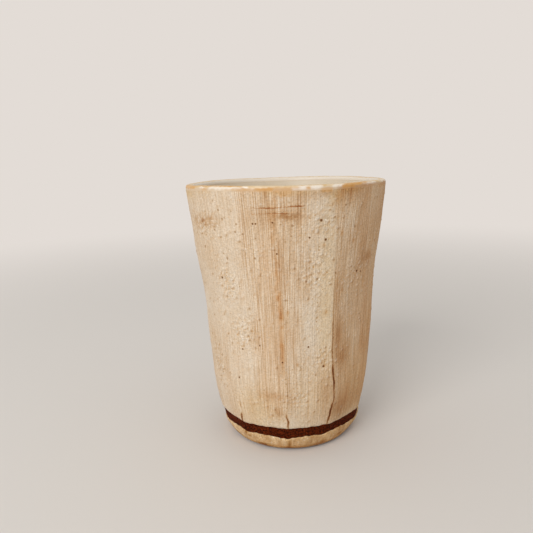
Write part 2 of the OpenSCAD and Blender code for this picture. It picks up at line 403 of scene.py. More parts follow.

# Wall slip: the marks that the brush, the scraper and the kiln left on it, with painted highlight and
# painted shade about its grains
wallSlip = {
    "rows": 174,
    "turns": 540,
    "edgeDips": (  # degrees, half width in degrees, drop
        (-74, 18, -0.9), (-35, 12, -0.3), (56, 22, -0.7), (140, 16, 0.4), (200, 18, -0.4), (245, 14, 0.4),
    ),
    "edgeNicks": 0.12,
    "scrapes": (  # left and right edge, how soft they are, low and high edge, strength
        (-88, -28, 10, 12, 2, 50, 0.26),
        (-80, -20, 12, 10, 58, 104, 0.14),
        (-20, 6, 10, 7, 8, 102, 0.5),
        (-26, 8, 8, 6, 46, 106, 0.57),
        (4, 29, 6, 1, 2, 44, 0.17),
        (29.2, 98, 2.0, 6, 6, 110, 0.82),
        (52, 100, 8, 6, 4, 96, 0.98),
        (104, 141, 2, 3, 8, 78, 0.7),
        (160, 188, 4, 4, 26, 92, 0.5),
        (211, 249, 1.5, 4, 10, 72, 0.75),
        (262, 287, 4, 4, 40, 92, 0.4),
    ),
    "stains": (  # degrees, height, half width, half rise, strength, share of it that is speckled
        (-51, 79.4, 6, 1.8, 0.55, 0.9),
        (-44, 80, 3, 1.6, 0.35, 0.9),
        (-62, 79, 4, 2.6, 0.35, 0.9),
        (56, 66, 3.0, 1.8, 0.5, 0.3),
        # the next two are brown beside the ridge at 30 degrees, partly stain and partly painted shadow of
        # the ridge
        (36, 35, 3.4, 4, 0.5, 0.3),
        (33, 40, 2.4, 8, 0.45, 0.1),
        (0.5, 81.2, 3.8, 1.1, 0.75, 0.5),
        (-6, 81.5, 8, 2.4, 0.25, 0.4),
        (12, 86.8, 4, 1.4, 0.22, 0.3),
        (21, 87.8, 2.6, 1.3, 0.55, 0.3),
        (-13, 22.5, 5, 1.6, 0.35, 0.2),
        (-8, 16.5, 1.6, 2.2, 0.35, 0.4),
        (38, 15, 9, 5, 0.6, 0.15),
        (25, 22, 3.2, 9, 0.48, 0.2),
        (-3, 66.5, 1.4, 6, 0.3, 0.3),
        (-56, 60, 9, 12, 0.11, 0.3),
        (130, 72, 7, 3.0, 0.6, 0.6),
        (205, 50, 4, 6.0, 0.45, 0.2),
        (240, 81, 9, 2.4, 0.6, 0.7),
    ),
    "darkEnds": (  # streaky: degrees, height, half width, half rise
        (34, 87.4, 4.6, 3.2), (-10, 87, 0.3, 1.8), (118, 86.5, 5, 2), (232, 87, 4, 2.5),
    ),
    "rustRun": (  # points along it: degrees, height
        (-5, 89), (-7.5, 77), (-6, 67.5), (-5.8, 58.7), (-4.5, 49), (-4.5, 40.6), (-4, 28.6),
    ),
    "rustRunWidth": 0.7,
    "rustLines": (  # points along each: degrees, height, strength
        (
            (-19, 83.6, 0), (-16, 83.7, 0.7), (-9, 83.6, 0.95), (-3, 83.8, 0.45), (3, 84, 0.7), (7, 84, 1),
            (10, 84.1, 0),
        ),
        ((-19, 81.9, 0), (-16.5, 81.9, 0.6), (-6, 82.1, 0.4), (0, 82, 0.7), (2, 82.1, 0)),
        ((149, 79, 0), (153, 79, 1), (168, 79.2, 0.7), (173, 79.3, 0)),
    ),
    "cracks": (  # the same, upwards
        (
            (27.6, 10.5, 0.5), (27.6, 12.6, 0.9), (29, 15.6, 1), (30.1, 18.6, 0.55), (30.3, 23, 0.5),
            (30.5, 25.8, 1), (29.4, 28, 0.8), (29, 30.2, 1), (28.3, 33, 0.45), (28.2, 45, 0.5),
            (28.2, 50, 0.3), (27.4, 60, 0),
        ),
        (
            (-40.2, 9.8, 0.8), (-39.8, 11.8, 1), (-39.2, 13.2, 0.7), (-38.4, 14.2, 0), (-38, 16, 0.1),
            (-37.9, 17, 0.4), (-37.5, 18.6, 0),
        ),
        ((-2.3, 10.4, 0.5), (-2.4, 12, 0.8), (-2.8, 14.2, 0.75), (-3, 16, 0.25), (-3, 18, 0)),
        ((103, 10.5, 0.8), (103.6, 16, 1), (102.6, 24, 0.4), (103.2, 29, 0.5), (103, 36, 0)),
        ((175.6, 10.5, 0.8), (176.2, 14, 0.7), (176.6, 18, 0)),
        ((212.6, 10.5, 0.7), (211.4, 17, 0.9), (212, 23, 0.4), (211, 40, 0)),
        ((283.5, 10.5, 0.9), (284, 13.5, 0.6), (284.3, 16, 0)),
    ),
    "pinholes": (  # degrees, height, radius
        (-17.6, 79, 0.25), (-16, 79, 0.23), (-7, 79.4, 0.22), (-5.5, 70, 0.24), (18.2, 79.6, 0.36),
        (21, 73.7, 0.34), (12, 74.6, 0.26), (-42, 61.3, 0.34), (-31.5, 37.8, 0.26), (-19, 39.8, 0.24),
        (-36, 27.4, 0.28), (12, 39.4, 0.28), (-4.5, 34.6, 0.24), (22, 32.2, 0.34), (46, 62, 0.34),
        (50, 61.5, 0.22),
    ),
    "pinpricks": (  # fainter ones
        (-28.2, 76.4, 0.34), (-23.8, 75.8, 0.34), (-27, 78.8, 0.28), (-60.5, 84.6, 0.36),
        (-37.8, 82.8, 0.3), (-35.8, 80.2, 0.28), (-43, 76.6, 0.32), (-35.8, 67.9, 0.4),
        (-17.8, 68.5, 0.34), (-16.5, 74.6, 0.24), (3, 78.4, 0.34), (28.2, 62.9, 0.32),
        (32, 83.6, 0.3), (40.2, 76.6, 0.34), (10.5, 61, 0.34),
    ),
    "flecks": (  # small rusty ones: degrees, height
        (30.8, 75.2), (40, 72.3), (20, 72), (24, 84), (-0.5, 51.3), (5, 33.6), (23, 50.5), (34, 57),
        (22.4, 32.6),
    ),
    "fleckSize": (0.4, 0.6),  # half width, half rise
    "gritPatches": (  # where grit shows most: degrees, height, half width, half rise
        (16, 64, 5, 9), (-38, 60, 4, 5), (-52, 77, 6, 4), (5, 21, 3.5, 3), (47, 62, 4, 3), (21, 35, 3, 4),
        (20, 78, 4, 4), (-30, 44, 4, 6), (95, 50, 6, 9), (140, 30, 5, 8), (185, 66, 7, 8), (228, 40, 5, 9),
        (270, 64, 5, 8), (300, 30, 5, 7),
    ),
    "smoothPatches": (
        (-32, 44, 7, 26), (-62, 40, 9, 24), (110, 60, 9, 14), (200, 30, 9, 14), (290, 50, 12, 20),
    ),
    "gritInPatch": 34,
    "looseGrit": 520,
    "looseHeights": (12, 87),
    "grainGap": 1.15,
    "grainSizes": (0.27, 0.48),  # half widths, least and most
    "grainRise": 0.17,  # millimetres, as the depths
    "grooveDepth": 0.05,
    "pitDepth": 0.08,
    "crackDepth": 0.08,
    "fineLumps": 0.04,
    "broadLumps": 0.06,
    # noises: cell width, cell rise, seed
    "edgeCells": ((1.6, 30, 11), (0.6, 30, 12)),
    "waverCells": (3, 14, 21),
    "scrapeCells": (5, 22, 22),
    "speckleCells": ((0.8, 0.6, 23), (0.6, 0.8, 29)),
    "rustCells": (0.8, 1.6, 24),
    "rustLineCells": (1.6, 9, 25),
    "brushCells": (0.7, 5, 26),
    "gritCells": (9, 10, 28),
    "honeyCells": (4, 3, 31),
    "crackCells": (60, 2.2, 32),
    "grooveCells": (0.7, 26, 41),
    "broadGrooveCells": (1.7, 34, 42),
    "fineLumpCells": (1.1, 1.1, 43),
    "broadLumpCells": (5, 6, 44),
    "honey": (  # degrees, height, half width, half rise, strength
        (-76, 87.5, 8, 2.0, 0.7), (120, 87.5, 8, 1.6, 0.7), (236, 88, 6, 1.6, 0.7), (58, 20, 13, 16, 0.35),
        (84, 50, 11, 45, 0.35), (18, 20, 9, 9, 0.15), (54, 86, 6, 5, 0.1), (26, 86.8, 2.4, 2.2, 0.5),
        (23, 52, 2.6, 30, 0.3), (-25, 16, 8, 8, 0.34), (34, 88.3, 4.2, 1.2, 0.75),
    ),
}


def slipEdge(angle, marks):
    level = np.zeros_like(angle)
    broad, fine = marks["edgeCells"]
    shift = marks["edgeNicks"] * ringNoise(angle, level, broad)
    shift += marks["edgeNicks"] / 2 * ringNoise(angle, level, fine)
    for degrees, halfWidth, drop in marks["edgeDips"]:
        shift += drop * np.exp(-((wrapAngle(angle - math.radians(degrees)) / math.radians(halfWidth)) ** 2))
    return shift


def scrapedShare(angle, height):
    scrape = np.zeros_like(angle)
    waver = 0.6 * ringNoise(angle, height, wallSlip["waverCells"])
    soften = 7 * smoothStep(50, 74, height)  # a scrape's edges soften towards the lip
    for left, right, softLeft, softRight, low, high, strength in wallSlip["scrapes"]:
        half = (right - left) / 2
        off = np.degrees(wrapAngle(angle - math.radians((left + right) / 2)))
        across = smoothStep(-1, 1, (off + half) / (softLeft + soften) + waver)
        across *= smoothStep(-1, 1, (half - off) / (softRight + soften) + waver)
        upward = smoothStep(low, low + 14, height) * smoothStep(high, high - 10, height)
        scrape = np.maximum(scrape, strength * across * upward)
    return scrape * (0.85 + 0.3 * ringNoise(angle, height, wallSlip["scrapeCells"]))


def darkEndShare(angle, height):
    brushLines = 1 + 0.6 * ringNoise(angle, height, wallSlip["brushCells"])
    return 0.6 * brushLines * spotMask(angle, height, wallSlip["darkEnds"])


lineReach = 2.0  # millimetres, the farthest that a point is counted as off a line


# How far each point is from the nearest line, and that line's strength close to it
def nearLine(angle, height, lines, upright):
    off = np.full_like(angle, lineReach)
    strength = np.zeros_like(angle)
    for line in lines:
        degrees, rises, strengths = np.array(line).T
        middle = degrees.mean()
        at = middle + np.degrees(wrapAngle(angle - math.radians(middle)))
        if upright:
            away = np.radians(at - np.interp(height, rises, degrees)) * cup["patternRadius"]
            here = np.interp(height, rises, strengths)
        else:
            away = height - np.interp(at, degrees, rises)
            here = np.interp(at, degrees, strengths)
        closer = np.abs(away) < np.abs(off)
        off = np.where(closer, away, off)
        strength = np.where(closer, here, strength)
    return off, strength * smoothStep(0.65, 0.46, np.abs(off))


wallFace = evenRun(wallCurve, wallSlip["rows"])
wallBack = evenRun(wallCurve, 9)[::-1] - (coat, 0)
outerSlip = throwOutline("outerSlip", np.vstack((wallFace, wallBack)), wallSlip["turns"], True)
angle, radius, height = readRound(outerSlip)
inset = outsideRadius(height) - radius
front = inset < coat / 2
edge = slipEdge(angle, wallSlip)
height = height + edge * smoothStep(cup["heelHeight"] + 5, cup["heelHeight"], height)
draw = np.random.default_rng(5)

scrape = scrapedShare(angle, height)

speckles = 0.8
for cells in wallSlip["speckleCells"]:
    speckles = speckles + 0.8 * ringNoise(angle, height, cells)
stain = np.zeros_like(angle)
for degrees, rise, halfWidth, halfRise, strength, speckled in wallSlip["stains"]:
    spot = spotMask(angle, height, ((degrees, rise, halfWidth, halfRise),))
    stain = np.maximum(stain, strength * spot * (1 - speckled + speckled * speckles))
stain = np.maximum(stain, darkEndShare(angle, height))

rust = strokeMask(angle, height, wallSlip["rustRun"], wallSlip["rustRunWidth"])
rust *= 0.2 + 0.45 * smoothStep(66, 59, height)
patchy = smoothStep(-0.3, 0.6, ringNoise(angle, height, wallSlip["rustCells"]))
rust *= smoothStep(26, 44, height) * (0.25 + 0.9 * patchy)
rustLineOff, rustLine = nearLine(angle, height, wallSlip["rustLines"], False)
rustLine *= 0.85 + 0.4 * ringNoise(angle, height, wallSlip["rustLineCells"])
wander = angle + math.radians(0.5) * ringNoise(angle, height, wallSlip["crackCells"])
crackOff, crack = nearLine(wander, height, wallSlip["cracks"], True)
rust = np.maximum(rust, 0.25 * crack)

flecks = [(*place, *wallSlip["fleckSize"]) for place in wallSlip["flecks"]]
rust = np.maximum(rust, 0.45 * spotMask(angle, height, flecks))
places = [
    (draw.normal(d, 1.3 * wide), draw.normal(z, 0.7 * tall))
    for d, z, wide, tall in wallSlip["gritPatches"]
    for i in range(wallSlip["gritInPatch"])
]
places += [
    (draw.uniform(-180, 180), draw.uniform(*wallSlip["looseHeights"])) for i in range(wallSlip["looseGrit"])
]
grains = []
degree = math.radians(cup["patternRadius"])  # millimetres round the wall
for d, z in places:
    taken = (*grains, *wallSlip["pinholes"])
    if all(math.hypot((d - t[0]) * degree, z - t[1]) > wallSlip["grainGap"] for t in taken):
        grains.append((d, z, *draw.uniform(*wallSlip["grainSizes"], 2)))
grog = spotMask(angle, height, grains)
# painted shade: wider spots set below and right of each grain; the ring they leave round the grain goes
# into the rust mark
grainShadeSpots = [(d + 0.5, z - 0.3, 1.5 * wide, 1.5 * tall) for d, z, wide, tall in grains]
grainShadeMask = spotMask(angle, height, grainShadeSpots)
# painted shade: darker spots below and right of every third grain, which also dent the face a little
deepShadeSpots = [(d + 1.0, z - 0.4, 0.7 * wide, 0.7 * tall) for d, z, wide, tall in grains[::3]]
pit = 0.28 * spotMask(angle, height, deepShadeSpots) * (1 - grog)
grit = 0.2 + 0.3 * ringNoise(angle, height, wallSlip["gritCells"])
grit *= 1 - 0.9 * spotMask(angle, height, wallSlip["smoothPatches"])
grit = np.maximum(grit, spotMask(angle, height, wallSlip["gritPatches"]))
# painted shade ring round each grain, added to the rust mark
rust = np.maximum(rust, (0.14 + 0.22 * grit) * (grainShadeMask - grog))
honey = 0.1 + 0.35 * ringNoise(angle, height, wallSlip["honeyCells"])
honey *= smoothStep(lipHeight - 2, lipHeight, height)
for degrees, rise, halfWidth, halfRise, strength in wallSlip["honey"]:
    honey = np.maximum(honey, strength * spotMask(angle, height, ((degrees, rise, halfWidth, halfRise),)))

grooves = ringNoise(angle, height, wallSlip["grooveCells"])
grooves += 0.6 * ringNoise(angle, height, wallSlip["broadGrooveCells"])
relief = wallSlip["grooveDepth"] * grooves * (0.25 + scrape) + wallSlip["grainRise"] * grog
relief -= wallSlip["pitDepth"] * pit + wallSlip["crackDepth"] * crack
relief += wallSlip["fineLumps"] * ringNoise(angle, height, wallSlip["fineLumpCells"])
relief += wallSlip["broadLumps"] * ringNoise(angle, height, wallSlip["broadLumpCells"])
relief *= smoothStep(lipHeight, lipHeight - 3, height)
lowerRound = 1 - np.clip((height - cup["heelHeight"] - edge) / (2 * coat), 0, 1)
relief -= coat * (1 - np.sqrt(1 - 0.9 * lowerRound**2))
faceRadius = shavedRadius(angle, height) - inset + np.where(front, relief, 0)
writeRound(outerSlip, *handShape(angle, faceRadius, height))
paintPlace(outerSlip, angle, height)
belowLip = (height - lipHeight) / lipMarks["runDown"]
for name, values in (
    ("scrape", scrape), ("stain", stain), ("rust", rust), ("pit", pit), ("honey", honey),
    ("crack", crack), ("rustLine", rustLine), ("grit", grit),
    # painted highlight: the grains' tops painted lighter
    ("grog", grog * (1 - pit) * (0.2 + 0.5 * grit)),
    ("whites", lipMask("whites", angle, belowLip)), ("ambers", lipMask("ambers", angle, belowLip)),
):
    paintMark(outerSlip, name, values)
for name, values in (("crackOff", crackOff), ("rustLineOff", rustLineOff)):
    paintMark(outerSlip, name, values, -lineReach)
angle, radius, height = readRound(lipGlaze)
paintMark(lipGlaze, "scrape", lipSlip * scrapedShare(angle, np.full_like(angle, lipHeight)))
paintMark(lipGlaze, "stain", lipSlip * darkEndShare(angle, height))
print("wall slip", len(outerSlip.data.polygons), "faces")

# Foot slip, with an edge that dips and stains that gather under it
footMarks = {
    "rows": 26,
    "turns": 480,
    "edgeDips": (
        (-78, 18, -1.2), (-39, 5, -0.7), (-4, 6, -0.8), (25, 5, -0.5), (54, 6, -0.4), (74, 12, -1.0),
        (94, 9, 0.5), (122, 8, -0.7), (176, 9, -0.8), (240, 8, -0.7),
    ),
    "edgeNicks": 0.16,
    "stains": (  # degrees, height, half width, half rise
        (-2, 2.6, 0.7, 2.2), (-2.5, 1.2, 1.2, 0.7), (27, 2.2, 1.0, 0.9), (-41, 5, 0.5, 0.9),
        (-38, 4, 0.8, 0.4), (-26, 1.6, 2.5, 0.6), (-60, 2, 3, 0.6), (45, 3, 2, 0.6), (150, 2.5, 2, 1),
        (230, 2, 3, 1),
    ),
    # warm spots low on the sides; the one at 75 degrees is painted warm reflected light
    "honey": ((75, 4, 30, 5), (-95, 4, 12, 4)),
    "lumps": 0.05,
    # noises: cell width, cell rise, seed
    "edgeCells": ((1.6, 30, 51), (0.6, 30, 52)),
    "lumpCells": (1.2, 1.0, 52),
    "broadLumpCells": (5, 4, 53),
    "stainCells": (1, 1, 54),
    "honeyCells": (6, 3, 55),
    "scrapeCells": (8, 20, 56),
    "gritCells": (5, 5, 57),
}
footFace = evenRun(baseCurve[baseCurve[:, 1] > cup["slipStop"]], footMarks["rows"])
footBack = evenRun(footFace, 6)[::-1] - (coat, 0)
footSlip = throwOutline("footSlip", np.vstack((footFace, footBack)), footMarks["turns"], True)
angle, radius, height = readRound(footSlip)
inset = outsideRadius(height) - radius
front = inset < coat / 2
edge = slipEdge(angle, footMarks)
height = height + edge * smoothStep(cup["slipStop"] + 1, cup["bandLow"], height)
relief = ringNoise(angle, height, footMarks["lumpCells"])
relief += ringNoise(angle, height, footMarks["broadLumpCells"])
relief *= footMarks["lumps"]
upperRound = 1 - np.clip((cup["bandLow"] + edge - height) / coat, 0, 1)
relief -= coat * (1 - np.sqrt(1 - 0.9 * upperRound**2))
footRadius = shavedRadius(angle, height) - inset + np.where(front, relief, 0)
writeRound(footSlip, *handShape(angle, footRadius, height))
paintPlace(footSlip, angle, height)
footStain = 0.8 + 0.4 * ringNoise(angle, height, footMarks["stainCells"])
footStain *= spotMask(angle, height, footMarks["stains"])
# darker and warmer towards the bottom, with the painted reflected light of the honey spots
footLowTintAndReflection = 0.6 + 0.5 * ringNoise(angle, height, footMarks["honeyCells"])
footLowTintAndReflection *= smoothStep(3, 0.8, height)
footLowTintAndReflection += 0.2 * spotMask(angle, height, footMarks["honey"])
paintMark(footSlip, "scrape", 0.1 + 0.1 * ringNoise(angle, height, footMarks["scrapeCells"]))
paintMark(footSlip, "grit", 0.4 + 0.4 * ringNoise(angle, height, footMarks["gritCells"]))
paintMark(footSlip, "stain", footStain)
paintMark(footSlip, "honey", footLowTintAndReflection)
print("foot slip", len(footSlip.data.polygons), "faces")

# Clay body, under the coats and bare in the band
clayShape = {"turns": 360, "gritRise": 0.05, "gritCells": (0.9, 0.7, 61)}
lipArc = np.linspace(0, math.pi, 13)[1:-1]
clayLip = lipCentre + (cup["lipRound"] - coat) * np.stack((np.cos(lipArc), np.sin(lipArc)), 1)
footInner = cup["footRadius"] - cup["footWidth"]
clayOutline = np.vstack((
    [[0, cup["footHollow"]], [footInner, cup["footHollow"]], [footInner, 0]],
    evenRun(baseCurve, 16) - (coat, 0),
    evenRun(np.array((baseCurve[-1], wallCurve[0])), 12)[1:-1] - (coat, 0),
    evenRun(wallCurve, 40) - (coat, 0),
    clayLip,
    evenRun(insideCurve[1:], 40)[::-1] + (coat, 0),
    [[0, cup["floorHeight"]]],
))
clayBody = throwOutline("clayBody", clayOutline, clayShape["turns"], False)
angle, radius, height = readRound(clayBody)
inset = outsideRadius(height) - radius
outer = (inset < coat + 1) & (height < lipHeight)
grit = clayShape["gritRise"] * ringNoise(angle, height, clayShape["gritCells"])
grit *= smoothStep(0.5, 2, height)
clayRadius = np.where(outer, shavedRadius(angle, height) - inset + grit, radius)
writeRound(clayBody, *handShape(angle, clayRadius, height))
print("clay body", len(clayBody.data.polygons), "faces")

# Inside glaze, with the rings that throwing left
throwing = {"pitch": 5.5, "depth": 0.12, "rows": 90, "turns": 300}
glazeFace = np.vstack((insideCurve[:1], evenRun(insideCurve[1:], throwing["rows"])))
glazeBack = np.vstack((evenRun(insideCurve[1:], 20)[::-1] + (coat, 0), [[0, cup["floorHeight"]]]))
glazeOutline = np.vstack((glazeFace, glazeBack))
innerGlaze = throwOutline("innerGlaze", glazeOutline, throwing["turns"], False)
angle, radius, height = readRound(innerGlaze)
rings = throwing["depth"] * np.sin(fullTurn * (height / throwing["pitch"] + angle / fullTurn))
rings *= smoothStep(cornerTop[1], cornerTop[1] + 10, height) * smoothStep(lipHeight, lipHeight - 12, height)
onFace = np.interp(height, insideCurve[:, 1], insideCurve[:, 0]) > radius - coat / 2
writeRound(innerGlaze, *handShape(angle, radius + rings * onFace, height))
print("inside glaze", len(innerGlaze.data.polygons), "faces")


def linear(hexColour):
    parts = [int(hexColour[i : i + 2], 16) / 255 for i in (1, 3, 5)]
    return [p / 12.92 if p <= 0.04045 else ((p + 0.055) / 1.055) ** 2.4 for p in parts] + [1]


# Sets a node's inputs, each to a plain value or another node's output
def setInputs(node, inputs):
    for socket, value in inputs.items():
        if isinstance(value, bpy.types.NodeSocket):
            node.id_data.links.new(value, node.inputs[socket])
        else:
            node.inputs[socket].default_value = value


# Adds a shader node and gives its outputs
def addNode(tree, kind, inputs=None, settings=None):
    node = tree.nodes.new("ShaderNode" + kind)
    for name, value in (settings or {}).items():
        setattr(node, name, value)
    setInputs(node, inputs or {})
    return node.outputs


# A new material, with what adds nodes to it and its shader
def startMaterial(name):
    material = bpy.data.materials.new(name)
    material.use_nodes = True
    tree = material.node_tree
    return material, partial(addNode, tree), tree.nodes["Principled BSDF"]


# settings that come back often
mixColour = {"data_type": "RGBA"}
filterColour = {"data_type": "RGBA", "blend_type": "MULTIPLY"}
times = {"operation": "MULTIPLY"}
timesPlus = {"operation": "MULTIPLY_ADD"}
highest = {"operation": "MAXIMUM"}
noiseSpan = {"From Min": 0.3, "From Max": 0.7}  # most of a noise lies in here
factor, under, over, mixed = 0, 6, 7, 2  # the colour mixer's sockets

# Brushed slip, fired matt: chalky cream with sandy specks, dragged thin and tan in fine upright lines
slipLook = {
    "cream": "#dccdba",
    "warmCream": "#d5c1a8",
    "thread": "#e5d9c9",  # raised threads of slip between the scratches
    "ochreSpeck": "#b98842",
    "paleSpeck": "#ece3d6",
    # painted highlight on the grains' tops
    "grog": "#e3d7c7",
    # milky glaze, partly painted highlight
    "whites": "#f0e9df",
    "ambers": "#c98f3e",
    # what soaks through the cream takes this share of its light
    "thin": "#dfbb97",
    "scratch": "#c4ab8e",
    "sand": "#dcc29c",  # in the hollows between lumps
    "stain": "#cbaa88",
    # rust, and the painted shade ringing each grain
    "rust": "#d3a272",
    "honey": "#f4ddb0",
    "rustLine": "#c2956f",
    "crack": "#8b5f35",
    # pinholes, and the painted shade beside grains
    "pit": "#6c4a2c",
    "pitSpeck": "#9b7c5b",
    "cloudSize": 9.0,  # millimetres, as the other sizes
    "streakWidth": 0.36,
    "streakStretch": 30.0,  # how many times longer than wide
    "combGap": 0.62,
    "combWaver": 12.0,  # radians
    "smearWidth": 2.0,
    "smearStretch": 5.0,
    "scratchWidth": 0.34,
    "scratchStretch": 45.0,
    "grainSize": 0.5,
    "lumpGap": 0.8,
    "rustLineWidth": 0.28,
    "crackWidth": 0.48,
    "lineRagged": 0.12,
    "streakDepth": 0.38,  # how much the upright streaks and comb lines thin the slip, as a share
    "combDepth": 0.17,
    # lineShade is painted shade in the grooves of the fine upright lines
    "lineShade": 0.3,  # how much darker the fine upright lines are, as a share
    "speckGap": 1.3,
    "speckSize": 0.36,
    "relief": 0.2,
}


# What soaks in filters the colour, ever deeper with its share; what covers hides it
def soak(add, colour, tint, share):
    tinted = add("Gamma", {"Gamma": share, "Color": linear(tint)})[0]
    return add("Mix", {under: colour, over: tinted, factor: 1}, filterColour)[mixed]


def cover(add, colour, tint, share):
    return add("Mix", {factor: share, under: colour, over: linear(tint)}, mixColour)[mixed]


def slipMaterial(name, look, soaks, covers, fineLines, holes):
    material, add, shader = startMaterial(name)

    place = add("Attribute", None, {"attribute_name": "wallPlace"})["Vector"]
    mark = {
        m: add("Attribute", None, {"attribute_name": m})["Fac"]
        for m in ("scrape", "grit", *soaks, *covers, *fineLines)
    }

    # upright patterns: fine lines, broken smears and a few long scratches
    upright = {}
    for pattern, detail in (("streak", 1), ("smear", 3), ("scratch", 0)):
        stretched = add("Mapping", {"Vector": place, "Scale": (1, 1, 1 / look[pattern + "Stretch"])})[0]
        upright[pattern] = add(
            "TexNoise", {"Vector": stretched, "Scale": 1 / look[pattern + "Width"], "Detail": detail}
        )["Fac"]
    # a brush's lines round the cup: a whole number of them, each wavering a little
    apart = add("SeparateXYZ", {0: place})
    turn = add("Math", {0: apart[1], 1: apart[0]}, {"operation": "ARCTAN2"})[0]
    waver = add("Math", {0: upright["smear"], 1: look["combWaver"]}, times)[0]
    hairs = round(fullTurn * cup["patternRadius"] / look["combGap"])
    comb = add("Math", {0: turn, 1: hairs, 2: waver}, timesPlus)[0]
    comb = add("Math", {0: comb}, {"operation": "SINE"})[0]
    cloud = add(
        "TexNoise", {"Vector": place, "Scale": 1 / look["cloudSize"], "Detail": 6, "Roughness": 0.7}
    )["Fac"]
    grain = add("TexNoise", {"Vector": place, "Scale": 1 / look["grainSize"], "Detail": 1})["Fac"]
    lumps = add(
        "TexVoronoi",
        {"Vector": place, "Scale": 1 / look["lumpGap"], "Smoothness": 0.3},
        {"feature": "SMOOTH_F1"},
    )["Distance"]
    specks = add("TexVoronoi", {"Vector": place, "Scale": 1 / look["speckGap"]})

    # cream clouds
    share = add("MapRange", {"Value": cloud, "From Min": 0.35, "From Max": 0.68})[0]
    colour = add(
        "Mix", {factor: share, under: linear(look["cream"]), over: linear(look["warmCream"])}, mixColour
    )[mixed]

    # sand in the hollows, most where grit shows
    hollow = add("MapRange", {"Value": lumps, "From Min": 0.4, "From Max": 0.62})[0]
    sandy = add("Math", {0: mark["grit"], 1: 0.16, 2: 0.06}, timesPlus)[0]
    share = add("Math", {0: hollow, 1: sandy}, times)[0]
    colour = soak(add, colour, look["sand"], share)

    # thin slip where it was dragged, smeared and lined
    smears = add("MapRange", {"Value": upright["smear"], **noiseSpan, "To Min": 0.58, "To Max": 0.86})[0]
    dragged = add("Math", {0: mark["scrape"], 1: smears}, times)[0]
    lines = add(
        "MapRange",
        {
            "Value": upright["streak"],
            **noiseSpan,
            "To Min": -look["streakDepth"],
            "To Max": look["streakDepth"],
        },
    )[0]
    lines = add("Math", {0: comb, 1: look["combDepth"], 2: lines}, timesPlus)[0]
    lined = add("MapRange", {"Value": mark["scrape"], "From Max": 0.35, "To Min": 0.1, "To Max": 0.52})[0]
    worn = add("MapRange", {"Value": mark["scrape"], "From Min": 0.5, "To Min": 1, "To Max": 0.68})[0]
    lined = add("Math", {0: lined, 1: worn}, times)[0]
    lines = add("Math", {0: lines, 1: lined}, times)[0]
    share = add("Math", {0: lines, 1: dragged}, {"operation": "ADD", "use_clamp": True})[0]
    colour = soak(add, colour, look["thin"], share)

    # brown scratches and pale threads
    for low, high, most, tint, lay in (
        (0.6, 0.72, 0.55, "scratch", soak),
        (0.4, 0.28, 0.4, "thread", cover),
    ):
        share = add(
            "MapRange", {"Value": upright["scratch"], "From Min": low, "From Max": high, "To Max": most}
        )[0]
        share = add("Math", {0: share, 1: lined}, times)[0]
        colour = lay(add, colour, look[tint], share)

    # specks of ochre, of pale grit and of shade in tiny pits
    speckRadius = look["speckSize"] / look["speckGap"]
    kinds = add("SeparateColor", {0: specks["Color"]})
    bare = add("MapRange", {"Value": mark["scrape"], "From Max": 0.8, "To Min": 1, "To Max": 0.5})[0]
    for channel, sort, bound, size, more, least, tint in (
        (0, "GREATER_THAN", 0.66, 1.0, 0.7, 0.2, "ochreSpeck"),
        (0, "LESS_THAN", 0.3, 1.0, 0.7, 0.2, "paleSpeck"),
        (1, "GREATER_THAN", 0.84, 0.75, 0.4, 0.45, "pitSpeck"),
    ):
        dot = add(
            "MapRange",
            {
                "Value": specks["Distance"],
                "From Min": size * speckRadius,
                "From Max": 0.6 * size * speckRadius,
            },
        )[0]
        gritty = add("Math", {0: mark["grit"], 1: more, 2: least}, timesPlus)[0]
        chosen = add("Math", {0: kinds[channel], 1: bound}, {"operation": sort})[0]
        share = dot
        for part in (gritty, bare, chosen):
            share = add("Math", {0: share, 1: part}, times)[0]
        colour = cover(add, colour, look[tint], share)
    # stains, rust, honey and pits soak in; the rust and pit marks also hold painted shade beside the grains
    for tint in soaks:
        colour = soak(add, colour, look[tint], mark[tint])

    # pinholes, each at its own place
    for most, places in holes:
        nearest = add("Value")[0]
        nearest.default_value = 9
        for degrees, rise, radius in places:
            across = math.radians(degrees)
            side = cup["patternRadius"] * math.sin(across)
            middle = (side, -cup["patternRadius"] * math.cos(across), rise)
            away = add("VectorMath", {0: place, 1: middle}, {"operation": "DISTANCE"})["Value"]
            away = add("Math", {0: away, 1: radius}, {"operation": "DIVIDE"})[0]
            nearest = add("Math", {0: nearest, 1: away}, {"operation": "MINIMUM"})[0]
        share = add("MapRange", {"Value": nearest, "From Min": 1.4, "From Max": 0.5, "To Max": most})[0]
        colour = soak(add, colour, look["pit"], share)

    # fine lines, drawn by how far a point is off them, thin where weak, with ragged edges
    for tint in fineLines:
        off = add("Attribute", None, {"attribute_name": tint + "Off"})["Fac"]
        ragged = add(
            "MapRange",
            {"Value": grain, **noiseSpan, "To Min": -look["lineRagged"], "To Max": look["lineRagged"]},
        )[0]
        off = add("Math", {0: off, 1: ragged}, {"operation": "ADD"})[0]
        off = add("Math", {0: off}, {"operation": "ABSOLUTE"})[0]
        off = add("Math", {0: off, 1: mark[tint]}, {"operation": "DIVIDE"})[0]
        drawn = add(
            "MapRange",
            {"Value": off, "From Min": 1.3 * look[tint + "Width"], "From Max": 0.4 * look[tint + "Width"]},
        )[0]
        share = add("Math", {0: drawn, 1: mark[tint]}, times)[0]
        colour = soak(add, colour, look[tint], share)
    # what covers: the grains' painted highlight, and the lip's whites, partly painted highlight, and ambers
    # that run down on to the wall
    for tint in covers:
        colour = cover(add, colour, look[tint], mark[tint])

